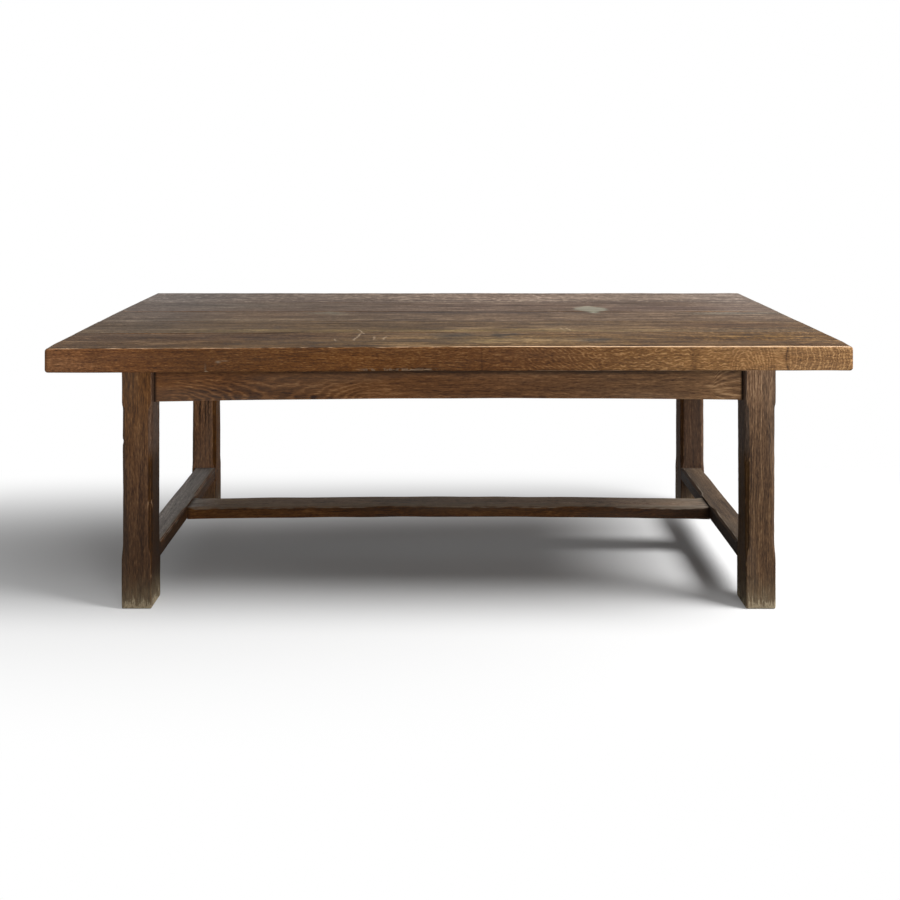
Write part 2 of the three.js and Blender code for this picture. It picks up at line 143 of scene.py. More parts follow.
class Block:
    """A box of wood whose surface is rounded, chamfered, bowed and worn, point by point."""

    def __init__(self, low, high, steps, edges):
        self.low, self.high = np.array(low, float), np.array(high, float)
        rules = [rulings(*args) for args in zip(self.low, self.high, steps, edges)]
        self.points, self.faces = box_shell(rules)
        self.flat = self.points.copy()
        self.normals = np.zeros_like(self.points)
        self.wear = np.zeros(len(self.points))
        # Each point's share of dirt and of painted shade
        self.grime_and_shade = np.zeros(len(self.points))

    def inward(self, axis, side):
        """Distance of each point of the sharp box from one of its faces: side is -1 or 1."""
        face = self.high[axis] if side > 0 else self.low[axis]
        return side * (face - self.flat[:, axis])

    def to_end(self, axis):
        """Distance of each point of the sharp box from its nearer end along an axis."""
        return np.minimum(self.inward(axis, -1), self.inward(axis, 1))

    def round(self, radius):
        """Rounds every edge. The radius may differ from point to point and from axis to axis."""
        radius = np.broadcast_to(np.asarray(radius, float).T, (3, len(self.points))).T
        core = np.clip(self.points, self.low + radius, self.high - radius)
        out = (self.points - core) / radius
        out /= np.linalg.norm(out, axis=1, keepdims=True)
        self.points = core + out * radius
        self.normals = out / radius
        self.normals /= np.linalg.norm(self.normals, axis=1, keepdims=True)

    def chamfer(self, first, second, size, soft=0.0009):
        """Cuts the edge between two faces, each an (axis, side). The size may vary by point."""
        depth = size - self.inward(*first) - self.inward(*second)
        shift = (depth + np.sqrt(depth**2 + soft**2)) / 4
        for axis, side in (first, second):
            self.points[:, axis] -= side * shift
        return depth

    def ripple(self, seed, lengths, height):
        """Smooth random heights as a sum of waves, with wavelengths of about the lengths given."""
        random = np.random.RandomState(seed)
        count = 14
        ways = random.normal(size=(count, 3)) / np.array(lengths)
        phases = random.uniform(0, 2 * math.pi, count)
        waves = np.sin(2 * math.pi * self.flat @ ways.T + phases)
        return height * waves.sum(axis=1) / math.sqrt(count / 2)

    def swell(self, heights):
        """Moves the points outwards by the heights given."""
        self.points += self.normals * heights[:, None]

    def dent(self, place, size, depth):
        """Presses a hollow into the surface round a place and returns each point's share of it."""
        away = (self.points - np.array(place)) / np.array(size)
        hollow = np.exp(-(away**2).sum(axis=1))
        self.points -= self.normals * depth * hollow[:, None]
        return hollow

    def edge_distance(self):
        """Distance of each point of the sharp box from its nearest edge."""
        return np.sort([self.to_end(axis) for axis in (X, Y, Z)], axis=0)[1]


def add_object(name, data):
    made = bpy.data.objects.new(name, data)
    bpy.context.scene.collection.objects.link(made)
    return made


def add_piece(name, node, block, material):
    """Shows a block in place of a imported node."""
    mesh = bpy.data.meshes.new(name)
    mesh.from_pydata(block.points.tolist(), [], block.faces.tolist())
    mesh.polygons.foreach_set("use_smooth", [True] * len(mesh.polygons))
    for key, values in (("wear", block.wear), ("grime_and_shade", block.grime_and_shade)):
        attribute = mesh.attributes.new(key, "FLOAT", "POINT")
        attribute.data.foreach_set("value", np.clip(values, 0, 1).astype(np.float32))
    mesh.materials.append(material)
    piece = add_object(name, mesh)
    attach(piece, "root")
    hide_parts(node)


def smooth(values, start, end):
    """0 at the start and 1 at the end, with a smooth change between them."""
    share = np.clip((values - start) / (end - start), 0, 1)
    return share * share * (3 - 2 * share)


def near(distances, width):
    """1 at distance 0, falling to 0 over a few widths."""
    return np.exp(-((distances / width) ** 2))


# Materials, written as formulas over the surface
RELIEF = 0.0004
TONE_STOPS = (0.0, 0.36, 0.64, 1.0)  # where the oak's four colours lie on the scale of its tone
# The colour of dirt, of the dark rings round the pegs and of painted shade
GRIME_AND_SHADE = (0.016, 0.009, 0.006)


class Field:
    """A number that varies over the surface."""

    def __init__(self, graph, socket):
        self.graph, self.socket = graph, socket

    def math(self, operation, *others, first=None):
        values = [self, *others] if first is None else [first, self]
        node = self.graph.node("Math", dict(enumerate(values)), operation=operation)
        return Field(self.graph, node.outputs[0])

    __add__ = __radd__ = partialmethod(math, "ADD")
    __mul__ = __rmul__ = partialmethod(math, "MULTIPLY")
    __sub__ = partialmethod(math, "SUBTRACT")
    __truediv__ = partialmethod(math, "DIVIDE")
    size = partialmethod(math, "ABSOLUTE")

    def __rsub__(self, other):
        return self.math("SUBTRACT", first=other)

    def step(self, low, high):
        """0 at low and 1 at high, with a smooth change between them."""
        inputs = {"Value": self, "From Min": low, "From Max": high}
        node = self.graph.node("MapRange", inputs, interpolation_type="SMOOTHSTEP")
        return Field(self.graph, node.outputs["Result"])

    def bump(self, centre, width):
        """1 at the centre, falling to 0 over a few widths on both sides."""
        away = (self - centre) / width
        return (away * away * -1).math("EXPONENT")

    def above(self, low):
        """How far it lies above a value, or 0 below it."""
        return (self - low).math("MAXIMUM", 0)

    def within(self, low, high, soft):
        """1 between low and high, 0 outside them."""
        return self.step(low - soft, low + soft) * self.step(high + soft, high - soft)

    def wave(self, length):
        """A sine of the given wavelength."""
        return (self * (2 * math.pi / length)).math("SINE")

    def lines(self, spacing, sharpness):
        """Thin light lines, one for each spacing."""
        return (self.wave(spacing) * 0.5 + 0.5).math("POWER", sharpness)


class Graph:
    """A tree of nodes."""

    def __init__(self, tree):
        self.tree = tree
        tree.nodes.clear()

    def node(self, kind, inputs=None, **settings):
        made = self.tree.nodes.new("ShaderNode" + kind)
        for key, value in settings.items():
            setattr(made, key, value)
        for key, value in (inputs or {}).items():
            self.feed(made.inputs[key], value)
        return made

    def feed(self, socket, value):
        if isinstance(value, Field):
            value = value.socket
        if isinstance(value, bpy.types.NodeSocket):
            self.tree.links.new(value, socket)
        else:
            socket.default_value = value

    def sees_background(self):
        """1 for rays that show the pale background: those of the camera, of gloss and of glass."""
        rays = self.node("LightPath").outputs
        share = Field(self, rays["Is Camera Ray"])
        for kind in ("Is Glossy Ray", "Is Transmission Ray"):
            share = share.math("MAXIMUM", rays[kind])
        return share


class Surface(Graph):
    """The nodes of a material. Noise sizes are along the grain, across it and, if given, in depth."""

    def __init__(self, name, grain=X):
        self.material = bpy.data.materials.new(name)
        self.material.use_nodes = True
        super().__init__(self.material.node_tree)
        self.order = {X: (0, 1, 2), Y: (1, 0, 2), Z: (1, 2, 0)}[grain]
        self.position = self.node("TexCoord").outputs["Object"]
        split = self.node("SeparateXYZ", {"Vector": self.position})
        self.x, self.y, self.z = (Field(self, socket) for socket in split.outputs)
        split = self.node("SeparateXYZ", {"Vector": self.node("TexCoord").outputs["Normal"]})
        self.facing = [Field(self, socket) for socket in split.outputs]
        self.facing_x, self.facing_y, self.facing_z = self.facing

    def attribute(self, name):
        return Field(self, self.node("Attribute", attribute_name=name).outputs["Fac"])

    def noise(self, sizes, seed, detail=2.0, roughness=0.5, distortion=0.0):
        """Smooth noise from 0 to 1 with blotches of the sizes given."""
        sizes = (*sizes, sizes[1])[:3]
        scale = [1 / sizes[place] for place in self.order]
        shift = (seed * 3.17, seed * 1.73, seed * 2.39)
        inputs = {0: self.position, 1: scale, 2: shift}
        moved = self.node("VectorMath", inputs, operation="MULTIPLY_ADD")
        inputs = {"Vector": moved.outputs[0], "Scale": 1.0, "Detail": detail}
        made = self.node("TexNoise", {**inputs, "Roughness": roughness, "Distortion": distortion})
        return Field(self, made.outputs["Fac"])

    def bands(self, phase, detail=1.0):
        """Uneven bands, one for about each unit of phase."""
        inputs = {"W": phase, "Scale": 1.0, "Detail": detail}
        return Field(self, self.node("TexNoise", inputs, noise_dimensions="1D").outputs["Fac"])

    def ramp(self, tone, colours):
        """The colour of a tone, from the first colour at 0 to the last one at 1."""
        made = self.node("ValToRGB", {"Fac": tone})
        points = made.color_ramp.elements
        while len(points) < len(TONE_STOPS):
            points.new(0.5)
        for point, position, colour in zip(points, TONE_STOPS, colours):
            point.position = position
            point.color = (*colour, 1)
        return made.outputs["Color"]

    def mix(self, factor, first, second):
        """The first colour where the factor is 0, the second where it is 1."""
        made = self.node("Mix", data_type="RGBA", clamp_factor=True)
        for place, value in ((0, factor), (6, first), (7, second)):
            self.feed(made.inputs[place], (*value, 1) if isinstance(value, tuple) else value)
        return made.outputs[2]

    def tuned(self, colour, hue, saturation, value):
        """The colour made yellower by hue, and with its saturation and value scaled."""
        changes = {"Hue": hue + 0.5, "Saturation": saturation, "Value": value}
        return self.node("HueSaturation", {"Color": colour, **changes}).outputs["Color"]

    def finish(self, colour, roughness, height=None, specular=0.5):
        """The material, with its fine relief where heights are given."""
        inputs = {"Base Color": colour, "Roughness": roughness, "Specular IOR Level": specular}
        if height is not None:
            bump = self.node("Bump", {"Height": height, "Distance": RELIEF})
            inputs["Normal"] = bump.outputs["Normal"]
        shader = self.node("BsdfPrincipled", inputs)
        self.node("OutputMaterial", {"Surface": shader.outputs[0]})
        return self.material


# Layers of grain: their sizes, then the noise's detail and roughness
GRAIN_LAYERS = {
    "clouds": ((0.42, 0.17), 2, 0.5),
    "bands": ((0.4, 0.05), 3, 0.6),
    "streaks": ((0.13, 0.011), 3, 0.65),
    "threads": ((0.034, 0.0034), 2, 0.6),
    "fibres": ((0.012, 0.0014), 1, 0.6),
}

# On the broad top the bands and streaks lie wider
PLANK_LAYERS = {
    "clouds": ((0.3, 0.12, 0.17), 3, 0.6),
    "bands": ((0.55, 0.03, 0.05), 3, 0.65),
    "streaks": ((0.18, 0.014, 0.009), 4, 0.7),
    "threads": ((0.03, 0.007, 0.0034), 2, 0.6),
    "fibres": ((0.009, 0.004, 0.0022), 1, 0.6),
}

# On the legs the grain runs in longer, finer lines
POST_LAYERS = {
    **GRAIN_LAYERS,
    "streaks": ((0.1, 0.012), 3, 0.65),
    "threads": ((0.045, 0.0036), 3, 0.65),
    "fibres": ((0.015, 0.0024), 1, 0.6),
}


def oak(name, grain, seed, look, figure=None, calm=None, tuning=None, marks=None):
    """Aged oak. The look gives its colours, the tree's heart and the strength of each layer.

    figure adds light lines, calm gives the strength of the coarse grain from place to place, tuning
    changes hue, saturation and value, and marks are stains and scratches over the finished colour.
    """
    graph = Surface(name, grain)
    layers = {key: graph.noise(sizes, seed + index, detail, roughness) - 0.5
              for index, (key, (sizes, detail, roughness)) in enumerate(look["layers"].items())}
    wander = graph.noise((0.12, 0.03), seed + 10) - 0.5
    radius = heart_distance(graph, seed, look) + wander * look["wander"]
    growth = graph.bands(radius / look["ring"], detail=1.5)
    if look["crisp"]:
        growth = growth.step(0.34, 0.66)
    growth = growth - 0.5
    pores = graph.noise((0.014, 0.0009), seed + 11, detail=1).step(0.58, 0.7)
    fleck = graph.noise(look["fleck_size"], seed + 12, distortion=0.25).step(0.5, 0.68)

    coarse = growth * look["rings"] + fleck * look["fleck"]
    for key in ("clouds", "bands", "streaks"):
        coarse = coarse + layers[key] * look[key]
    fine = layers["threads"] * look["threads"] + layers["fibres"] * look["fibres"]
    fine = fine - pores * look["pores"]
    height = layers["threads"] + layers["fibres"] - pores * 0.8 + growth * 0.4
    if look["strokes"]:
        dark = graph.noise(look["stroke_size"], seed + 15, roughness=0.6).step(0.56, 0.62)
        pale = graph.noise(look["stroke_size"], seed + 16, roughness=0.6).step(0.57, 0.64)
        coarse = coarse + (pale - dark) * look["strokes"]
    if calm:
        coarse = coarse * calm(graph)
    end = graph.facing[grain].size().step(0.6, 0.95)  # where the surface is end grain
    tone = coarse * (1 - end * 0.6) + fine * (1 - end * 0.5) + look["tone"]
    tone = tone + end * (growth * 0.8 - 0.2)
    if figure:
        lines = figure(graph)
        tone = tone + lines * look["figure"]
        height = height + lines * 0.3
    colour = graph.ramp(tone, look["colours"])
    if look["upper_colours"]:
        upper = graph.ramp(tone, look["upper_colours"])
        colour = graph.mix(graph.facing_z.step(0.45, 0.85), colour, upper)
    hue = graph.noise((0.45, 0.06), seed + 13)
    colour = graph.mix(hue.step(0.4, 0.68) * look["film"], colour, look["film_colour"])
    if tuning:
        colour = graph.tuned(colour, *tuning(graph))
    # Pale rubbed wear, which along the top's arrises is also a painted highlight
    rubbed = graph.attribute("wear") * 1.5 + layers["threads"] * 0.9 + layers["clouds"] * 0.5
    rubbed = rubbed.step(0.45, 1.1)
    colour = graph.mix(rubbed * look["wear"], colour, look["wear_colour"])
    # Dark seams between boards, and painted shade under the top and where rails meet the legs
    colour = graph.mix(graph.attribute("grime_and_shade").step(0.1, 0.9) * 0.9, colour, GRIME_AND_SHADE)
    roughness = look["roughness"] + layers["threads"] * 0.25 + layers["clouds"] * 0.2
    roughness = roughness - rubbed * 0.06
    if marks:
        colour = marks(graph, colour)
    return graph.finish(colour, roughness, height, look["specular"])


def heart_distance(graph, seed, look):
    """Distance from the heart of the tree, which drifts from side to side along the grain."""
    place = [graph.x, graph.y, graph.z]
    across, depth = (place[graph.order.index(k)] for k in (1, 2))
    drift = graph.noise((0.7, 1.0), seed + 14, detail=1) - 0.5
    heart_across, heart_depth = look["heart"]
    side = across - heart_across + drift * look["drift"]
    away = depth - heart_depth - drift * look["drift"] * 0.6
    return (side * side + away * away).math("SQRT")


COMMON_LOOK = {
    "layers": GRAIN_LAYERS,
    "colours": (  # from dark to light
        (0.03, 0.0125, 0.008), (0.105, 0.0445, 0.0175),
        (0.175, 0.075, 0.027), (0.33, 0.168, 0.072),
    ),
    "upper_colours": None,  # of the faces that look up
    "tone": 0.5,
    "heart": (0.0, 0.3),
    "drift": 0.05,
    "wander": 0.012,
    "ring": 0.0045,
    "rings": 0.45,
    "crisp": False,  # whether the growth rings have sharp edges
    "clouds": 0.7,
    "bands": 0.6,
    "streaks": 0.8,
    "threads": 1.3,
    "fibres": 1.0,
    "pores": 0.2,
    "fleck": 0.0,
    "fleck_size": (0.011, 0.006),
    "strokes": 0.0,
    "stroke_size": (0.3, 0.012, 0.01),
    "figure": 0.0,
    "film": 0.25,
    "film_colour": (0.11, 0.085, 0.065),
    "wear": 0.6,
    "wear_colour": (0.34, 0.2, 0.11),
    "roughness": 0.72,
    "specular": 0.12,
}


def oak_look(**changes):
    """The common look of the table's oak, with the changes given."""
    return {**COMMON_LOOK, **changes}


# The table's own pieces
def plank(number):
    """A board of the top: rounded and worn at the table's edges, with a pale line on its outer
    arrises that is wear and painted highlight, eased at its seams.
    """
    low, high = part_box(f"top_board_{number}")
    is_back, is_front = number == BACK_BOARD, number == FRONT_BOARD
    step = 0.006 if is_front else 0.012
    edge = 0.009 if is_front else TOP_RADIUS
    block = Block(low, high, steps=(step, 0.012, 0.006), edges=(edge, TOP_RADIUS, edge))
    x, y, z = block.flat.T
    front, back = block.inward(Y, -1), block.inward(Y, 1)
    ends = block.to_end(X)
    seam = np.minimum(1 if is_front else front, 1 if is_back else back)
    by_seam = smooth(seam, 0.03, 0.01)
    worn = np.clip(1 + block.ripple(number, (0.12, 5, 5), 0.15), 0.5, 1.6)
    arris = TOP_RADIUS * worn
    corner = np.where(z > TOP_MIDDLE, CORNER_RADIUS, LOWER_CORNER_RADIUS)
    by_corner = smooth(ends, 0.035, 0.018) * smooth(y, -0.43, -0.495)
    outer = arris + (corner - arris) * by_corner
    across = np.where(seam < 0.03, SEAM_RADIUS, arris)
    up = outer + (SEAM_RADIUS - outer) * by_seam * smooth(ends, 0.008, 0.02)
    block.round(np.stack([outer, across, up], axis=1))
    heights = block.ripple(number + 20, (0.6, 0.16, 0.4), 0.00025)
    heights += block.ripple(number + 30, (0.2, 0.06, 0.1), 0.00005)
    heights += 0.00015 * (1 - 2 * (number % 2))
    heights *= 1 - 0.8 * smooth(ends, 0.05, 0.01)
    block.swell(np.where(block.normals[:, Z] > 0.5, heights - 0.0006, heights * 0.5 - 0.0004))
    to_edge = block.edge_distance()
    rim = np.minimum(np.minimum(ends, front if is_front else 1), back if is_back else 1)
    is_outer = smooth(rim, 0.012, 0.004)
    # The pale line along the outer arrises: wear and a painted highlight, strongest towards the right
    patchy = 0.42 + block.ripple(number + 40, (0.1, 1, 1), 0.1)
    patchy += 0.9 * smooth(x, -0.3, 0.4) + 0.18 * smooth(x, -0.4, -0.7)
    patchy *= (1 - 0.65 * smooth(ends, 0.012, 0.003)) * smooth(seam, 0.002, 0.008)
    block.wear = near(to_edge, 0.0024) * is_outer * patchy
    block.wear *= 1 - 0.6 * smooth(z, 0.72, 0.7)
    broken = np.clip(0.35 + block.ripple(number + 50, (0.3, 1, 1), 0.35), 0.06, 1)
    tight = smooth(x, -0.25, -0.4) * (np.abs(y - TIGHT_SEAM) < 0.01)
    block.grime_and_shade = near(seam, 0.0014) * broken * (1 - 0.75 * tight)
    if is_front:
        for place, half_length, depth in CHIPS:
            chip = block.dent((place, low.y, low.z), (half_length, 0.009, 0.007), depth)
            block.wear += chip * 0.8
    settle(block)
    return block


def settle(block):
    """The top and the front apron have sunk a little at the front left corner."""
    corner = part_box("top_board_5")[0]
    left, front = (smooth(block.flat[:, axis], SETTLED_FROM[axis], corner[axis]) for axis in (X, Y))
    block.points[:, Z] -= SETTLED * left * front


def leg(name):
    """A leg with stopped chamfers on its upright edges, a worn foot and painted shade just under the
    top.
    """
    low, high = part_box(f"leg_{name}")
    block = Block(low, high, steps=(0.011, 0.011, 0.006), edges=(0.013, 0.013, 0.006))
    seed = 100 + sum(map(ord, name))
    foot = block.inward(Z, -1)
    block.round(LEG_ARRIS + (FOOT_RADIUS - LEG_ARRIS) * smooth(foot, 0.012, 0.003))
    z = block.flat[:, Z]
    bottom, top = LEG_CHAMFER_HEIGHTS
    full = smooth(z, bottom - LEG_LOWER_STOP, bottom)
    full *= 1 - smooth(z, top, top + LEG_UPPER_STOP)
    worn = block.ripple(seed, (1, 1, 0.12), 0.0004)
    size = LEG_ARRIS + (LEG_CHAMFER - LEG_ARRIS) * full + np.abs(worn)
    arris = np.full(len(z), 1.0)
    for side_x in (-1, 1):
        for side_y in (-1, 1):
            depth = block.chamfer((X, side_x), (Y, side_y), size)
            arris = np.minimum(arris, np.abs(depth))
    waves = block.ripple(seed + 1, (0.6, 0.6, 0.4), 0.0003)
    waves += block.ripple(seed + 2, (0.15, 0.15, 0.15), 0.00006)
    block.swell(waves - 0.0003)
    nicks = 0.22 + block.ripple(seed + 3, (0.2, 0.2, 0.05), 0.25)
    block.wear = near(arris, 0.0022) * nicks
    for side_x, height in LEG_NICKS.get(name, ()):
        corner = (low.x if side_x < 0 else high.x, low.y, height)
        block.wear += block.dent(corner, (0.016, 0.016, 0.006), 0.004) * 0.5
    # Painted shade just under the top
    block.grime_and_shade = smooth(z, high.z - 0.02, high.z) * 0.5
    return block


def reach_legs(low, high, axis):
    """Moves the ends of a box along an axis to just inside the legs that hold it."""
    front_left, back_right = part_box("leg_front_left"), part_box("leg_back_right")
    low[axis] = front_left[1][axis] - JOINT_LAP
    high[axis] = back_right[0][axis] + JOINT_LAP


def apron(node, axis, seed, rise):
    """An apron along an axis, with worn edges, a hollow lower edge and painted shade under the top.
    """
    low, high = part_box(node)
    reach_legs(low, high, axis)
    block = Block(low, high, steps=(0.01, 0.01, 0.009), edges=(APRON_ARRIS,) * 3)
    block.round(APRON_ARRIS * 0.9)
    nicks = 0.6 + block.ripple(seed, (0.08, 0.08, 0.08), 0.4)
    block.wear = near(block.edge_distance(), 0.0025) * nicks
    lengths = (0.6, 0.3, 0.2) if axis == X else (0.3, 0.6, 0.2)
    block.swell(block.ripple(seed + 1, lengths, 0.00025) - 0.0003)
    crown(block, axis, rise)
    # Painted shade along the upper edge, under the top
    block.grime_and_shade = smooth(block.flat[:, Z], high.z - 0.012, high.z) * 0.8
    return block


def long_apron(name):
    """A long apron: it has settled with the top, and its ends are darkened beside the legs by painted
    shade.
    """
    block = apron(f"long_apron_{name}", X, 200 + len(name), LONG_APRON_CROWN)
    to_leg = block.to_end(X) - JOINT_LAP
    # Painted shade in the joint beside each leg
    block.grime_and_shade += smooth(to_leg, 0.004, 0.0015) * 1.4
    settle(block)
    return block


def crown(block, axis, rise):
    """Lifts the lower edge to a shallow curve, whose ends are as low as the frame's box."""
    middle = (block.low[axis] + block.high[axis]) / 2
    share = (block.flat[:, axis] - middle) / (block.high[axis] - middle)
    up = (block.flat[:, Z] - block.low[Z]) / (block.high[Z] - block.low[Z])
    block.points[:, Z] += rise * (1 - share**2) * (1 - up)


def side_stretcher(name):
    """A side stretcher: its inner chamfer stops at the legs and beside the long stretcher."""
    low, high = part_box(f"side_stretcher_{name}")
    reach_legs(low, high, Y)
    is_left = name == "left"
    inner = 1 if is_left else -1
    seed = 240 + len(name)
    block = Block(low, high, steps=(0.009, 0.007, 0.009), edges=(SIDE_CHAMFER, 0.004, SIDE_CHAMFER))
    block.round(STRETCHER_ARRIS)
    y = np.abs(block.flat[:, Y])
    to_leg = high.y - JOINT_LAP - y
    faded = smooth(to_leg, 0, SIDE_END_STOP)
    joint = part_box("long_stretcher")[1].y
    beside = smooth(y, joint, joint + SIDE_JOINT_STOP)
    arris = STRETCHER_ARRIS + block.ripple(seed, (1, 0.2, 1), 0.0003)
    full = (SIDE_CHAMFER - STRETCHER_ARRIS) * faded
    outer_depth = block.chamfer((X, -inner), (Z, 1), arris + full)
    inner_depth = block.chamfer((X, inner), (Z, 1), arris + full * beside)
    block.swell(block.ripple(seed + 1, (0.3, 0.3, 0.2), 0.0004) - 0.0004)
    nicks = 0.6 + block.ripple(seed + 2, (0.2, 0.12, 0.2), 0.2)
    nicks *= 1 if is_left else 0.6
    block.wear = (near(inner_depth, 0.0035) + 0.2 * near(outer_depth, 0.0035)) * nicks
    block.wear += (0.45 if is_left else 0.15) * (block.normals[:, Z] > 0.5)
    # Painted shade in the corners where it meets the legs
    block.grime_and_shade = smooth(to_leg, 0.02, 0.0) * 0.6
    return block


def long_stretcher():
    """The long stretcher: bowed up a little in the middle, with chamfers on its upper edges."""
    low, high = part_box("long_stretcher")
    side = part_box("side_stretcher_right")[0].x
    low.x, high.x = -side - JOINT_LAP, side + JOINT_LAP
    high.z -= LONG_CROWN
    block = Block(low, high, steps=(0.007, 0.009, 0.009), edges=(0.004, LONG_CHAMFER, LONG_CHAMFER))
    block.round(STRETCHER_ARRIS)
    seed = 260
    to_end = side - np.abs(block.flat[:, X])
    full = smooth(to_end, 0, LONG_END_STOP)
    depths = []
    for face in (-1, 1):
        worn = block.ripple(seed + face, (0.3, 1, 1), 0.0005)
        size = STRETCHER_ARRIS + (LONG_CHAMFER - STRETCHER_ARRIS + worn) * full
        depths.append(block.chamfer((Y, face), (Z, 1), size))
    block.swell(block.ripple(seed + 2, (0.35, 0.3, 0.2), 0.0005) - 0.0004)
    nicks = 0.4 + block.ripple(seed + 3, (0.15, 0.3, 0.3), 0.2)
    block.wear = near(np.min(np.abs(depths), axis=0), 0.0025) * nicks
    chamfered = smooth(np.max(depths, axis=0), 0, 0.002)
    block.wear += 0.48 * chamfered + 0.5 * (block.normals[:, Z] > 0.5)
    block.points[:, Z] += LONG_CROWN * (1 - (block.flat[:, X] / side) ** 2)
    # Painted shade in the corners where it meets the side stretchers
    block.grime_and_shade = smooth(to_end, 0.02, 0.0) * 0.6
    return block


# Figure and looks of each piece
def front_share(graph):
    """1 on surfaces that face the front, 0 elsewhere."""
    return (graph.facing_y * -1).step(0.5, 0.9)


def upper_share(graph):
    """1 on surfaces that look up, 0 elsewhere."""
    return graph.facing_z.step(0.5, 0.9)


def front_figure(graph):
    """The light ray lines on the top's front edge: sloping, then zigzag, arched and upright."""
    x, z = graph.x, graph.z
    up = z - TOP_MIDDLE
    warp = graph.noise((0.06, 0.03), 301) - 0.5
    fine = graph.noise((0.018, 0.012), 302) - 0.5
    broken = graph.noise((0.03, 0.01), 303).step(0.34, 0.56)
    broken_tall = graph.noise((0.012, 0.02, 0.03), 304).step(0.32, 0.5)
    flow = z + warp * 0.03 + fine * 0.008
    gentle = (flow + (x + warp * 0.05).wave(0.09) * 0.003).lines(0.0085, 3)
    gentle = gentle * x.within(-0.3, 0.22, 0.08)
    sloping = (flow + x * 0.7).lines(0.0115, 4) * x.within(0.2, 0.42, 0.03)
    ripple = (x + warp * 0.06 + fine * 0.01).wave(0.033) * (warp * 0.03).math("MAXIMUM", 0.0025)
    zigzag = (flow + ripple).lines(0.0105, 3) * x.within(0.4, 0.67, 0.02)
    short = (flow + (x + warp * 0.04).wave(0.02) * 0.0015).lines(0.0088, 3)
    short = short * x.within(0.68, 0.765, 0.01)
    aside, rise = x - 0.802, (up + 0.036) * 0.55
    arch_radius = (aside * aside + rise * rise).math("SQRT") + warp * 0.02 + fine * 0.01
    arches = arch_radius.lines(0.0078, 2.2) * x.within(0.765, 0.885, 0.008)
    wedge = (x - up * up * 6).within(0.885, 0.914, 0.006)
    bent = x + up * up * 7 + warp * 0.03
    upright = (bent + fine * 0.008).lines(0.0082, 2.2) * 0.7 + bent.lines(0.0165, 1.5) * 0.5
    upright = upright * x.within(0.925, 1.11, 0.006)
    dashes = graph.noise((0.011, 0.01, 0.0024), 305).step(0.55, 0.7) * x.step(0.3, 0.1)
    dashes = dashes * (x.step(-0.75, -0.45) * 0.35 + 0.25)
    lines = dashes + (gentle * 0.6 + sloping + zigzag + short) * broken
    lines = lines + (arches * 0.75 + upright) * broken_tall + wedge * 0.5
    dark = (x - up * up * 6).bump(0.917, 0.0025) * 0.8
    dark = dark + x.bump(0.666, 0.009) * 0.5 + x.bump(0.09, 0.003) * 0.5
    return (lines - dark) * front_share(graph) + crinkles(graph)


def crinkles(graph):
    """Fine crinkled flecks on the upper face at the right end of the two front boards."""
    flecks = graph.noise((0.016, 0.03, 0.02), 306, detail=3, distortion=0.6).step(0.43, 0.6) - 0.45
    place = graph.x.within(0.66, 1.07, 0.06) * graph.y.within(-0.45, -0.21, 0.03)
    return flecks * place * upper_share(graph) * 0.8


def plank_calm(graph):
    """The coarse grain of the top is strongest right of the middle, and weak on the front edge."""
    x, front = graph.x, front_share(graph)
    upper = 1 + x.bump(0.15, 0.45) * 0.45 - x.step(-0.6, -1.0) * 0.25
    return upper * (1 - front) + (0.4 - x.step(0.1, 0.4) * 0.1) * front


# Patches of the top by board: X, Y, half length, half width, then more value and, where they
# change, saturation and hue
PATCHES = {
    1: ((-0.75, 0.4, 0.35, 0.1, -0.08, -0.15), (0.15, 0.42, 0.5, 0.06, 0.22),
        (0.9, 0.4, 0.2, 0.05, 0.08), (0.25, 0.3, 0.9, 0.018, -0.12),
        (0.25, 0.36, 0.22, 0.15, 0.12), (0.72, 0.44, 0.12, 0.06, -0.12)),
    2: ((-0.7, 0.2, 0.3, 0.08, -0.05, -0.15, 0.01), (0.75, 0.14, 0.3, 0.03, -0.12, 0, -0.01),
        (-0.35, 0.18, 0.2, 0.07, -0.12), (0.35, 0.18, 0.28, 0.06, 0.08)),
    3: ((0.05, 0.06, 0.4, 0.02, -0.3, -0.1, -0.01), (-0.36, 0.05, 0.05, 0.04, 0.15, -0.3, 0.03),
        (0.95, 0.04, 0.14, 0.02, -0.02, -0.3, 0.02), (-0.7, -0.08, 0.4, 0.02, 0.12, 0, 0.01),
        (-0.25, -0.05, 0.2, 0.05, -0.14), (0.62, 0.04, 0.16, 0.03, 0.08)),
    4: ((0.05, -0.265, 0.7, 0.025, 0.25, 0.1, 0.015), (-0.7, -0.26, 0.2, 0.02, 0.18, 0.02, 0.012),
        (-0.95, -0.2, 0.13, 0.04, -0.15), (0.85, -0.18, 0.25, 0.05, -0.12, 0.1, -0.01),
        (-0.25, -0.18, 0.15, 0.05, -0.1), (0.1, -0.18, 0.1, 0.05, 0.11)),
    5: ((-0.6, -0.35, 0.45, 0.05, -0.27, -0.05, -0.01), (-0.45, -0.44, 0.3, 0.05, -0.17),
        (0.1, -0.4, 0.42, 0.08, 0.33, -0.05, 0.012), (0.34, -0.32, 0.1, 0.05, 0.2),
        (0.1, -0.425, 0.04, 0.02, 0.3, 0, 0.01),
        (0.02, -0.34, 0.045, 0.04, -0.5, -0.2), (0.145, -0.345, 0.025, 0.04, -0.6, -0.25),
        (0.39, -0.42, 0.035, 0.025, -0.55, -0.25), (0.93, -0.36, 0.2, 0.06, 0.14, 0.1, 0.005),
        (0.75, -0.43, 0.25, 0.05, 0.08, 0.05)),
}
BOARD_HUES = (-0.01, -0.009, -0.003, 0.003, 0.0)  # from the back board to the front one


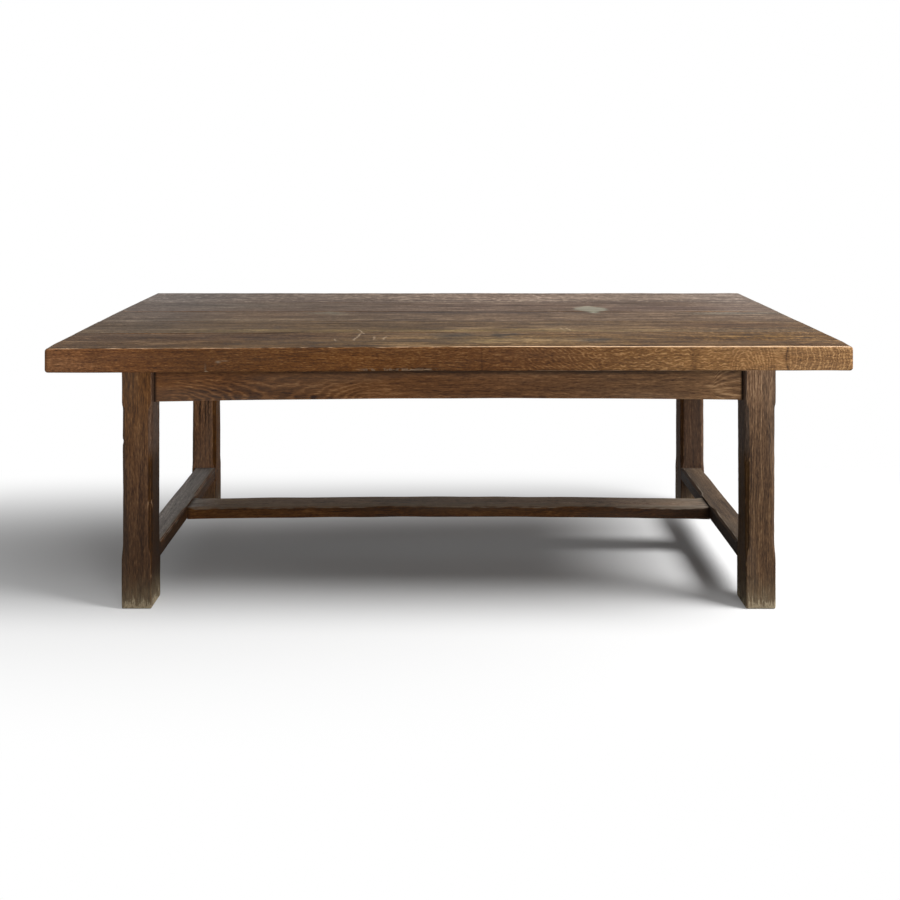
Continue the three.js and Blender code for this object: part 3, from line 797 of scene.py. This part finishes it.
def plank_tuning(number, graph):
    """Patches of the upper face, painted light at its right end, darker end faces, and a front edge
    that is darkest in the middle with painted light towards its right end.
    """
    x, front = graph.x, front_share(graph)
    wander = graph.noise((0.16, 0.05, 0.1), 331, detail=3, roughness=0.65) - 0.5
    along, across = x + wander * 0.35, graph.y + wander * 0.05
    left_end, right_end = x.step(-0.6, -1.0), x.step(0.8, 1.0)
    end = graph.facing_x.size().step(0.5, 0.9)
    # Lighter at both ends of the upper face; the right end, lighter and greyer, is painted light from
    # the right
    value = 1 + x.step(-0.88, -1.03) * 0.12 + right_end * 0.12
    value = value + x.bump(0.22, 0.2) * 0.08 - x.bump(-0.25, 0.2) * 0.1
    saturation = 1.06 - left_end * (graph.y.step(-0.4, 0.1) * 0.18 + 0.13)
    saturation = saturation - right_end * graph.y.step(-0.2, 0.1) * 0.16
    hue = BOARD_HUES[number - 1]
    for centre_x, centre_y, length, width, *changes in PATCHES[number]:
        patch = along.bump(centre_x, length) * across.bump(centre_y, width)
        more_value, more_saturation, more_hue = (*changes, 0, 0)[:3]
        value = value + patch * more_value * 1.5
        saturation = saturation + patch * more_saturation
        hue = hue + patch * more_hue
    # The front edge: darkest in the middle and lighter towards both ends, with painted light on its
    # right part
    front_value = 0.79 + x.step(-0.1, -0.4) * 0.08 - x.bump(0, 0.25) * 0.06
    front_value = front_value + x.step(-0.65, -1.0) * 0.72 + x.step(0.15, 0.95) * 0.82
    front_saturation = 0.95 + x.bump(-0.3, 0.75) * 0.13
    # End faces are darker: older end grain, and painted shade where the lamp lights them
    value = value * (1 - front) * (1 - end * 0.38) + front_value * front
    saturation = (saturation - end * 0.15) * (1 - front) + front_saturation * front
    return hue * (1 - front) + (x.step(0.1, 0.7) * 0.012 - 0.002) * front, saturation, value


# Scratches in the top: X, Y, length and direction in degrees
SCRATCHES = (
    (-0.258, -0.278, 0.07, -72), (-0.262, -0.358, 0.1, -97), (-0.212, -0.377, 0.045, -92),
    (-0.184, -0.377, 0.045, -95), (-0.318, -0.4, 0.025, -80), (0.342, -0.245, 0.04, -83),
    (0.358, -0.245, 0.04, -83),
)
# Cracks and dark streaks along the grain: X, Y, half length
CRACKS = (
    (0.97, -0.431, 0.035), (1.05, -0.431, 0.02), (0.82, -0.436, 0.045), (0.7, -0.42, 0.05),
    (0.35, 0.105, 0.12), (0.09, 0.232, 0.05), (-0.15, 0.235, 0.03), (0.66, 0.255, 0.05),
    (-0.55, -0.14, 0.06), (0.1, 0.081, 0.35),
)
STAIN = (0.48, 0.125)
STAINED_BOARDS = (2, 3)
PALE_MARK = (0.34, 0.26, 0.18)


def top_marks(number, graph, colour):
    """The stain, scratches and cracks that lie on a board, and the chips of the front edge."""
    low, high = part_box(f"top_board_{number}")
    scratches = [line for line in SCRATCHES if low.y - 0.05 < line[1] < high.y + 0.05]
    cracks = [line for line in CRACKS if low.y < line[1] < high.y]
    if number in STAINED_BOARDS:
        colour = stained(graph, colour)
    if scratches:
        colour = scratched(graph, colour, scratches)
    if cracks:
        colour = cracked(graph, colour, cracks)
    return chipped(graph, colour) if number == FRONT_BOARD else colour


def stained(graph, colour):
    """A pale, pointed stain with a tail to the front."""
    x, y = graph.x, graph.y
    wander = graph.noise((0.03, 0.03), 341, detail=3) - 0.5
    away = (y - STAIN[1]) / 0.067
    stain = (x - STAIN[0]).size() / 0.054 + away * away + wander * 0.7
    tail = x.bump(STAIN[0] + 0.004, 0.012) * y.bump(STAIN[1] - 0.062, 0.022) * 0.35
    share = (stain.step(1.25, 0.72) * 0.54 + tail) * upper_share(graph)
    return graph.mix(share, colour, (0.215, 0.215, 0.165))


def scratched(graph, colour, scratches):
    """Fine pale scratches."""
    wander = graph.noise((0.03, 0.03), 343, detail=3) - 0.5
    share = 0
    for centre_x, centre_y, length, degrees in scratches:
        cosine, sine = math.cos(math.radians(degrees)), math.sin(math.radians(degrees))
        from_x, from_y = graph.x - centre_x + wander * 0.02, graph.y - centre_y
        along, across = from_x * cosine + from_y * sine, from_y * cosine - from_x * sine
        share = share + across.bump(0, 0.0027) * along.within(-length / 2, length / 2, 0.008)
    broken = graph.noise((0.008, 0.01), 345).step(0.3, 0.55) * 0.6 + 0.4
    return graph.mix(share * broken * upper_share(graph) * 0.5, colour, PALE_MARK)


def cracked(graph, colour, cracks):
    """Thin dark streaks along the grain."""
    wander = graph.noise((0.03, 0.03), 344, detail=3) - 0.5
    share = 0
    for centre_x, centre_y, length in cracks:
        along = (graph.x + wander * 0.1).bump(centre_x, length)
        share = share + (graph.y + wander * 0.008).bump(centre_y, 0.008) * along
    return graph.mix(share * upper_share(graph) * 0.8, colour, (0.03, 0.018, 0.009))


def chipped(graph, colour):
    """Small pale chips, a rubbed lower edge and dark smudges on the front edge of the top."""
    x, z = graph.x, graph.z
    fine = graph.noise((0.008, 0.012), 342)
    chip = x.bump(-0.627, 0.006) * z.bump(0.7165, 0.003)
    chip = chip + x.bump(-0.61, 0.01) * z.bump(0.7195, 0.0015) * 0.6
    chip = chip + x.bump(-0.662, 0.0025) * z.step(0.72, 0.695) * 0.35
    rubbed = z.step(0.702, 0.694) * x.within(-0.235, -0.03, 0.03) * fine.step(0.46, 0.56) * 0.8
    smudge = (x.bump(-0.96, 0.02) + x.bump(-0.585, 0.006) * 0.6) * fine.step(0.35, 0.6)
    front = front_share(graph)
    colour = graph.mix(smudge * front * 0.3, colour, (0.04, 0.02, 0.01))
    return graph.mix((chip + rubbed) * front * 0.6, colour, PALE_MARK)


def rail_figure(graph):
    """Growth rings of the long aprons: two nests of arches below and a fan on the right."""
    x, z = graph.x, graph.z
    warp = graph.noise((0.05, 0.02), 321) - 0.5
    up = z - 0.581  # from just under the apron
    left, right = (x + 0.79) / 3.4, (x + 0.2) / 3.0  # from the hearts of the two nests, shortened
    left_radius = (left * left + up * up).math("SQRT")
    right_radius = (right * right + up * up).math("SQRT")
    both = (left_radius * left_radius + right_radius * right_radius).math("SQRT")
    rings = left_radius * right_radius / both + warp * 0.012
    arches = (rings.lines(0.0078, 2) - 0.35) * x.within(-0.78, -0.22, 0.05) * up.step(0.085, 0.03)
    spread = (x.above(0.748) + 0.004).math("SQRT") * 0.25
    fan = (z - 0.612 + warp * 0.01) / spread
    flames = (fan.lines(0.3, 1.8) - 0.4) * x.within(0.752, 0.9, 0.012) * fan.within(-0.7, 2, 0.3)
    knot = x.bump(-0.385, 0.009) * z.bump(0.59, 0.006)
    streak = x.bump(0.745, 0.025) * z.bump(0.622, 0.005) + x.bump(0.77, 0.02) * z.bump(0.61, 0.004)
    return arches * (1.15 - x.step(-0.5, -0.35) * 0.4) + flames * 0.9 - knot * 2 + streak * 0.9


def rail_tuning(graph):
    """The long aprons carry painted shade along their upper edge under the top, and are greyer
    towards the right end.
    """
    # Painted shade under the top's front edge
    shade = graph.z.step(0.65, 0.664) * (0.52 + graph.x.within(-0.5, 0.5, 0.2) * 0.15)
    value = 1.25 + graph.x.size().step(0.3, 0.8) * 0.58 - graph.x.step(0.3, 0.8) * 0.14
    value = value * (1 - shade)
    return graph.x.step(0.0, 0.8) * 0.01, 1.0 - graph.x.step(-0.2, 0.8) * 0.12, value


# Each leg: how light its front is near the floor, how much lighter at the top and from which
# height, its saturation near the floor and at the top, its hue, and how much lighter its inner
# side is at both. Partly painted light and shade: the lit front of the back left leg, the lighter,
# greyer front right leg, and inner sides lit above and shaded below on the left legs and shaded
# on the right ones
LEG_TONES = {
    "front_left": ((0.5, 1.12, 0.14), (0.9, 1.02), 0.003, (-0.42, 0.27)),
    "front_right": ((0.69, 1.2, 0.28), (0.87, 0.8), 0.009, (-0.38, -0.1)),
    "back_left": ((1.78, 1.27, 0.22), (0.92, 0.96), 0.002, (0.2, 0.75)),
    "back_right": ((0.46, 0.2, 0.22), (0.86, 0.92), 0.0, (-0.3, -0.24)),
}


def leg_tuning(name, graph):
    """Legs are darker towards the floor, with set tones in front and on the inner side that are
    partly painted light and shade.
    """
    front_values, saturations, hue, (inner_low, inner_top) = LEG_TONES[name]
    low_value, more_value, lighter_from = front_values
    low_saturation, top_saturation = saturations
    inward = 1 if name.endswith("left") else -1
    height = graph.z.step(0.22, 0.68)
    upper = graph.z.step(0.4, 0.46)
    front = (graph.facing_y * -1).step(0.75, 0.95)
    inner = (graph.facing_x * inward).step(0.4, 0.65)
    # Inner sides: painted light and shade, one value below about 0.43 m and another above it
    side_value = 0.6 + height * 0.5 + inner * (upper * (inner_top - inner_low) + inner_low)
    front_value = low_value + graph.z.step(lighter_from, 0.68) * more_value
    value = side_value + (front_value - side_value) * front
    saturation = height * (top_saturation - low_saturation) + low_saturation
    return hue, saturation + inner * (0.25 - upper * 0.45), value


def leg_marks(name, graph, colour):
    """Dark joints round the pegs, a bare, uneven rim at the foot, cracks in the back left leg."""
    for joint in (f"end_apron_{name}_lower", f"end_apron_{name}_upper", f"side_stretcher_{name}"):
        low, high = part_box(f"peg_{joint}")
        middle = (low + high) / 2
        aside, rise = graph.y - middle.y, graph.z - middle.z
        away = (aside * aside + rise * rise).math("SQRT")
        ring = away.step(0.0085, 0.0055) * graph.facing_x.size().step(0.5, 0.9)
        colour = graph.mix(ring * 0.75, colour, GRIME_AND_SHADE)
    wander = graph.noise((0.03, 0.014), 351, detail=3, roughness=0.65) - 0.5
    threads = graph.noise((0.03, 0.004), 352)
    speckle = graph.noise((0.006, 0.004), 353, detail=3, roughness=0.7)
    height = graph.z + wander * 0.08
    if name == "back_left":
        for place in (-0.893, -0.874, -0.862):
            crack = (graph.x + wander * 0.014).bump(place, 0.0028) * graph.z.within(0.3, 0.58, 0.06)
            colour = graph.mix(crack * 0.85, colour, (0.025, 0.012, 0.006))
    colour = graph.mix(height.step(0.12, 0.0) * 0.6, colour, (0.13, 0.095, 0.056))
    ragged = graph.z + wander * 0.07 + (threads - 0.5) * 0.11
    rim = ragged.step(0.028, 0.004) * 0.75 + ragged.step(0.07, 0.0) * 0.2
    rim = rim * (speckle.step(0.35, 0.6) * 0.55 + 0.45)
    return graph.mix(rim, colour, (0.37, 0.3, 0.195))


def bar_tuning(graph):
    """The stretchers are rubbed grey on top and carry painted shade on their sides and inner faces;
    the left bar is lighter and the right end darkened with painted shade.
    """
    up = graph.facing_z.step(0.8, 0.97)
    side = graph.facing_z.step(0.5, 0.2)
    left = graph.x.step(-0.7, -0.86)
    # The right bar and the right end of the long bar are darkened with painted shade where the lamp
    # lights them
    along = 1 + left * 0.55 - graph.x.step(0.5, 0.85) * 0.62
    rubbed = 1.38 + left * 0.35 - graph.x.step(0.8, 0.85)
    inner = (graph.facing_x * (left * 2 - 1)).step(0.5, 0.9)
    # Painted shade on the inner faces, most on the left bar towards the front
    shaded = inner * ((graph.y * -1).step(-0.05, 0.25) * left * 0.4 + 0.3)
    # Sides darker by painted shade
    value = (0.7 + up * rubbed - side * 0.14) * along * (1 - shaded)
    return up * 0.014, 1.06 - up * (left * 0.54 + 0.36), value


# Pairs of colours of the upper face, from dark to light: grey at the back, where they hold a painted
# sheen, warm at the front
UPPER_COLOURS = (
    ((0.03, 0.0195, 0.0135), (0.017, 0.0078, 0.0035)),
    ((0.066, 0.0475, 0.034), (0.039, 0.0196, 0.0079)),
    ((0.105, 0.079, 0.059), (0.07, 0.0379, 0.0165)),
    ((0.2, 0.158, 0.119), (0.152, 0.092, 0.047)),
)


def upper_colours(number):
    """The colours of a board's upper face, greyer towards the back with painted sheen."""
    share = (number - BACK_BOARD) / (FRONT_BOARD - BACK_BOARD)
    return [np.array(grey) * (1 - share) + np.array(warm) * share for grey, warm in UPPER_COLOURS]


for number in range(BACK_BOARD, FRONT_BOARD + 1):
    finish = oak_look(
        layers=PLANK_LAYERS,
        heart=(0.36 - 0.2 * number, 0.62),
        upper_colours=upper_colours(number),
        roughness=0.76,
        film=0.12,
        bands=1.0,
        streaks=1.0,
        threads=1.1,
        fibres=0.9,
        clouds=0.45,
        strokes=0.22,
        stroke_size=(0.15, 0.015, 0.009),
        wear_colour=(0.56, 0.38, 0.235),
        wear=0.9,
    )
    options = {
        "calm": plank_calm,
        "tuning": partial(plank_tuning, number),
        "marks": partial(top_marks, number),
    }
    if number == BACK_BOARD:
        finish.update(fleck=0.4, fleck_size=(0.024, 0.02, 0.01))
    if number == FRONT_BOARD - 1:
        finish.update(figure=0.34)
        options["figure"] = crinkles
    if number == FRONT_BOARD:
        finish.update(figure=0.34, fleck=0.14, fleck_size=(0.01, 0.006, 0.004), strokes=0.32)
        options["figure"] = front_figure
    material = oak(f"plank_{number}", X, number * 17, finish, **options)
    add_piece(f"plank_{number}", f"top_board_{number}", plank(number), material)

for index, corner in enumerate(LEG_TONES):
    finish = oak_look(
        layers=POST_LAYERS,
        heart=(-0.45, 0.6),
        ring=0.006,
        rings=0.2,
        crisp=True,
        wander=0.009,
        bands=0.4,
        streaks=0.35,
        threads=1.2,
    )
    if corner == "front_right":
        finish.update(ring=0.0042, rings=0.32, wander=0.012)
    options = {"tuning": partial(leg_tuning, corner), "marks": partial(leg_marks, corner)}
    material = oak(f"post_{corner}", Z, 100 + index * 17, finish, **options)
    add_piece(f"post_{corner}", f"leg_{corner}", leg(corner), material)

for index, side in enumerate(("front", "back")):
    finish = oak_look(rings=0.3, figure=0.4, fibres=0.7, threads=1.05, streaks=0.6)
    options = {"figure": rail_figure, "tuning": rail_tuning}
    material = oak(f"long_rail_{side}", X, 170 + index * 17, finish, **options)
    add_piece(f"long_rail_{side}", f"long_apron_{side}", long_apron(side), material)

BAR_LOOK = oak_look(film=0.35, wear_colour=(0.24, 0.2, 0.155), threads=0.9)
for index, side in enumerate(("left", "right")):
    node = f"end_apron_{side}"
    block = apron(node, Y, 220 + len(side), END_APRON_CROWN)
    material = oak(f"end_rail_{side}", Y, 210 + index * 17, oak_look())
    add_piece(f"end_rail_{side}", node, block, material)
    node = f"side_stretcher_{side}"
    material = oak(f"side_bar_{side}", Y, 250 + index * 17, BAR_LOOK, tuning=bar_tuning)
    add_piece(f"side_bar_{side}", node, side_stretcher(side), material)

material = oak("long_bar", X, 290, BAR_LOOK, tuning=bar_tuning)
add_piece("long_bar", "long_stretcher", long_stretcher(), material)


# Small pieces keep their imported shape, with eased edges
def dress(prefix, material, ease):
    """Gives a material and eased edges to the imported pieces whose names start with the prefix."""
    for name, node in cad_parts.items():
        if not name.startswith(prefix):
            continue
        node.data.materials.clear()
        node.data.materials.append(material)
        node.modifiers.new("weld", "WELD").merge_threshold = 0.00001
        bevel = node.modifiers.new("ease", "BEVEL")
        bevel.width = ease
        bevel.segments = 2
        bevel.limit_method = "ANGLE"


PEG_LOOK = oak_look(tone=0.66, rings=0.3, film=0.3)
# The joints whose pegs lie along X, Y and Z
PEG_JOINTS = (("end_apron", "side_stretcher"), ("long_apron",), ("long_stretcher",))
for axis, joints in enumerate(PEG_JOINTS):
    material = oak("pegs_along_" + "xyz"[axis], axis, 200, PEG_LOOK)
    for joint in joints:
        dress(f"peg_{joint}_", material, 0.0004)
dress("button_", oak("buttons", Z, 210, oak_look()), 0.001)
dress("loose_tongue_", oak("tongues", X, 220, oak_look()), 0.0005)
STEEL_COLOUR = (0.2, 0.19, 0.18, 1)
dress("screw_", Surface("steel").finish(STEEL_COLOUR, 0.45), 0.0002)


# Floor, lamps and camera
def make_floor():
    """A grey floor for the light, which the camera sees paler, and white away from the table."""
    bpy.ops.mesh.primitive_plane_add(size=FLOOR_SIZE)
    floor = bpy.context.object
    floor.name = "floor"
    graph = Surface("floor")
    shown = graph.node("BsdfDiffuse", {"Color": (FLOOR_SHOWN_TONE,) * 3 + (1,)})
    hidden = graph.node("BsdfDiffuse", {"Color": (FLOOR_TONE,) * 3 + (1,)})
    white = graph.node("Emission", {"Color": (1, 1, 1, 1), "Strength": 1.0})
    aside = (graph.x - FLOOR_MIDDLE[0]) * FLOOR_SHARES[0]
    back = graph.y - FLOOR_MIDDLE[1]
    back = back * FLOOR_SHARES[1] + back.above(0) * (FLOOR_SHARES[2] - FLOOR_SHARES[1])
    away = (aside * aside + back * back).math("SQRT").step(FLOOR_CLEAR_FROM, FLOOR_CLEAR_AT)
    fade = graph.node("MixShader", {0: away, 1: shown.outputs[0], 2: white.outputs[0]})
    inputs = {0: graph.sees_background(), 1: hidden.outputs[0], 2: fade.outputs[0]}
    choice = graph.node("MixShader", inputs)
    graph.node("OutputMaterial", {"Surface": choice.outputs[0]})
    floor.data.materials.append(graph.material)


def make_world():
    """A white background whose own light is softer and leans to one side."""
    world = bpy.data.worlds.new("studio")
    bpy.context.scene.world = world
    world.use_nodes = True
    graph = Graph(world.node_tree)
    way = graph.node("TexCoord").outputs["Generated"]
    lean = [share * WORLD_LEVEL for share in WORLD_LEAN]
    leaning = graph.node("VectorMath", {0: way, 1: lean}, operation="DOT_PRODUCT")
    soft = Field(graph, leaning.outputs["Value"]) + WORLD_LEVEL
    level = graph.node("Mix", {0: graph.sees_background(), 2: soft, 3: 1.0})
    background = graph.node("Background", {"Color": (1, 1, 1, 1), "Strength": level.outputs[0]})
    graph.node("OutputWorld", {"Surface": background.outputs[0]})


def make_lamps():
    for name, (place, size, power) in LAMPS.items():
        data = bpy.data.lights.new(name, "AREA")
        data.shape = "ELLIPSE"
        data.size, data.size_y = size
        data.energy = power
        lamp = add_object(name, data)
        lamp.location = place
        aim = Vector(LAMP_TARGET) - Vector(place)
        lamp.rotation_euler = aim.to_track_quat("-Z", "Y").to_euler()


def make_camera():
    data = bpy.data.cameras.new("camera")
    data.lens = FOCAL_LENGTH
    data.sensor_width = SENSOR_WIDTH
    data.shift_x, data.shift_y = CAMERA_SHIFT
    camera = add_object("camera", data)
    camera.location = CAMERA_PLACE
    camera.rotation_euler = (math.pi / 2, 0, 0)
    bpy.context.scene.camera = camera


make_floor()
make_world()
make_lamps()
make_camera()
bpy.context.scene.view_settings.view_transform = "Standard"
